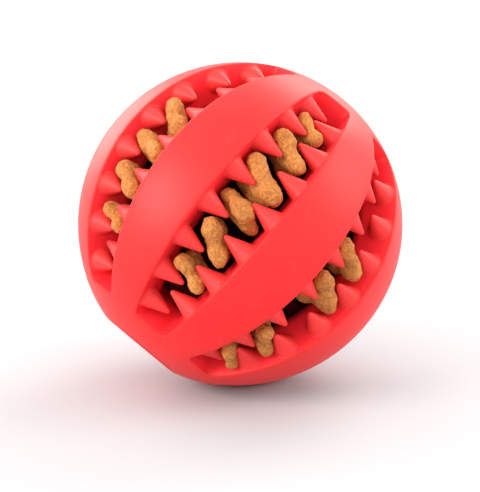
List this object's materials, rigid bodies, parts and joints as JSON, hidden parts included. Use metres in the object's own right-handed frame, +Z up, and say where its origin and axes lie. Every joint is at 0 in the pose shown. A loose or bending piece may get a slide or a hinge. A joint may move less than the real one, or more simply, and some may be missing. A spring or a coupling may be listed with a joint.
{
  "type": "treat dispensing ball",
  "caption": "Hollow rubber ball with pole-to-pole slots, lined with rows of soft cone teeth that grip dry treats until a pet works them out.",
  "frame": {"origin": "the ball's centre", "axes": "+Z up as the ball lies on a floor; the axis through its poles leans 43.6 degrees from +Z towards +X; the slots that hold treats face -Y"},
  "size_m": [0.07, 0.07, 0.07],
  "materials": {
    "rubber": "satin moulded rubber, bright red",
    "tooth_rubber": "satin moulded rubber, bright red, rubbed glossy at the tips",
    "biscuit": "baked golden-brown biscuit, dry and grainy"
  },
  "bodies": {
    "ball": {"band_1": "rubber", "band_2": "rubber", "band_3": "rubber", "band_4": "rubber", "band_5": "rubber", "band_6": "rubber", "band_7": "rubber", "band_8": "rubber", "lower_pole_cap": "rubber", "upper_pole_cap": "rubber", "slot_1_left_teeth": "tooth_rubber", "slot_1_right_teeth": "tooth_rubber", "slot_2_left_teeth": "tooth_rubber", "slot_2_right_teeth": "tooth_rubber", "slot_3_left_teeth": "tooth_rubber", "slot_3_right_teeth": "tooth_rubber", "slot_4_left_teeth": "tooth_rubber", "slot_4_right_teeth": "tooth_rubber", "slot_5_left_teeth": "tooth_rubber", "slot_5_right_teeth": "tooth_rubber", "slot_6_left_teeth": "tooth_rubber", "slot_6_right_teeth": "tooth_rubber", "slot_7_left_teeth": "tooth_rubber", "slot_7_right_teeth": "tooth_rubber", "slot_8_left_teeth": "tooth_rubber", "slot_8_right_teeth": "tooth_rubber"},
    "treat_1": {"treat_1": "biscuit"},
    "treat_2": {"treat_2": "biscuit"},
    "treat_3": {"treat_3": "biscuit"},
    "treat_4": {"treat_4": "biscuit"},
    "treat_5": {"treat_5": "biscuit"},
    "treat_6": {"treat_6": "biscuit"},
    "treat_7": {"treat_7": "biscuit"},
    "treat_8": {"treat_8": "biscuit"},
    "treat_9": {"treat_9": "biscuit"},
    "treat_10": {"treat_10": "biscuit"},
    "treat_11": {"treat_11": "biscuit"},
    "treat_12": {"treat_12": "biscuit"},
    "treat_13": {"treat_13": "biscuit"},
    "treat_14": {"treat_14": "biscuit"}
  },
  "joints": [
    {"name": "treat_1_out", "type": "slide", "parent": "ball", "child": "treat_1", "axis": [-0.9505, -0.2677, 0.1575], "range_m": [0, 0.016]},
    {"name": "treat_2_out", "type": "slide", "parent": "ball", "child": "treat_2", "axis": [-0.8713, -0.2976, 0.3902], "range_m": [0, 0.016]},
    {"name": "treat_3_out", "type": "slide", "parent": "ball", "child": "treat_3", "axis": [-0.7381, -0.3092, 0.5997], "range_m": [0, 0.016]},
    {"name": "treat_4_out", "type": "slide", "parent": "ball", "child": "treat_4", "axis": [-0.5591, -0.3018, 0.7722], "range_m": [0, 0.016]},
    {"name": "treat_5_out", "type": "slide", "parent": "ball", "child": "treat_5", "axis": [-0.6444, -0.7529, -0.134], "range_m": [0, 0.016]},
    {"name": "treat_6_out", "type": "slide", "parent": "ball", "child": "treat_6", "axis": [-0.528, -0.8469, 0.0633], "range_m": [0, 0.016]},
    {"name": "treat_7_out", "type": "slide", "parent": "ball", "child": "treat_7", "axis": [-0.3786, -0.889, 0.2574], "range_m": [0, 0.016]},
    {"name": "treat_8_out", "type": "slide", "parent": "ball", "child": "treat_8", "axis": [-0.2058, -0.8763, 0.4357], "range_m": [0, 0.016]},
    {"name": "treat_9_out", "type": "slide", "parent": "ball", "child": "treat_9", "axis": [-0.0205, -0.8095, 0.5868], "range_m": [0, 0.016]},
    {"name": "treat_10_out", "type": "slide", "parent": "ball", "child": "treat_10", "axis": [0.1652, -0.6934, 0.7014], "range_m": [0, 0.016]},
    {"name": "treat_11_out", "type": "slide", "parent": "ball", "child": "treat_11", "axis": [-0.3433, -0.6458, -0.682], "range_m": [0, 0.016]},
    {"name": "treat_12_out", "type": "slide", "parent": "ball", "child": "treat_12", "axis": [-0.1795, -0.797, -0.5767], "range_m": [0, 0.016]},
    {"name": "treat_13_out", "type": "slide", "parent": "ball", "child": "treat_13", "axis": [0.1724, -0.948, -0.2674], "range_m": [0, 0.016]},
    {"name": "treat_14_out", "type": "slide", "parent": "ball", "child": "treat_14", "axis": [0.3383, -0.9374, -0.0824], "range_m": [0, 0.016]}
  ]
}
